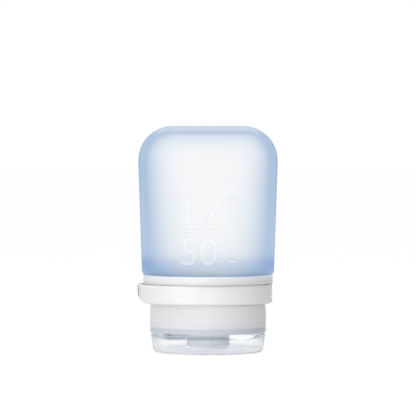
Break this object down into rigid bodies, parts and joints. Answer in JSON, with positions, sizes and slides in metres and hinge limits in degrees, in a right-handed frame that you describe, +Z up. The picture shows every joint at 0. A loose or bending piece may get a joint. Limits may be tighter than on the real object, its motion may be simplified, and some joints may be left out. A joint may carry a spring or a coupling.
{
  "type": "travel bottle",
  "caption": "Squeezable rounded-square silicone travel bottle standing on a clear flip lid, with a frosted screw cap, slit-valve spout, neck collar and swing-down loop.",
  "frame": {"origin": "centre of the flip lid's outer face, on which the bottle stands", "axes": "+Z up from the lid to the closed end of the body along the axis of cap and neck, +X towards the loop's hinge, -Y towards the face that carries the capacity numbers"},
  "size_m": [0.0424, 0.0418, 0.0683],
  "materials": {
    "silicone": "milky translucent, satin",
    "white_plastic": "satin white",
    "frosted_plastic": "frosted translucent",
    "clear_plastic": "clear gloss",
    "seal_silicone": "translucent, soft"
  },
  "bodies": {
    "bottle": {"silicone_bottle": "silicone", "collar": "white_plastic", "neck_sleeve": "white_plastic"},
    "loop": {"loop_ring": "white_plastic"},
    "seal": {"cap_gasket": "seal_silicone"},
    "cap": {"cap_shell": "frosted_plastic", "drip_valve": "seal_silicone", "valve_retainer": "frosted_plastic"},
    "lid": {"flip_lid": "clear_plastic"}
  },
  "joints": [
    {"name": "loop_swing", "type": "hinge", "parent": "bottle", "child": "loop", "pos_m": [0.018, 0, 0.0178], "axis": [0, -1, 0], "range_deg": [0, 90]},
    {"name": "cap_travel", "type": "slide", "parent": "bottle", "child": "seal", "axis": [0, 0, -1], "range_m": [0, 0.004]},
    {"name": "cap_turn", "type": "hinge", "parent": "seal", "child": "cap", "pos_m": [0, 0, 0], "axis": [0, 0, -1], "range_deg": [0, 360]},
    {"name": "lid_hinge", "type": "hinge", "parent": "cap", "child": "lid", "pos_m": [-0.00969, 0.01197, 0.0043], "axis": [0.7771, 0.6293, 0], "range_deg": [0, 95]}
  ],
  "couplings": [
    {"joint": "cap_travel", "follows": "cap_turn", "m_per_rad": 0.0006366}
  ]
}
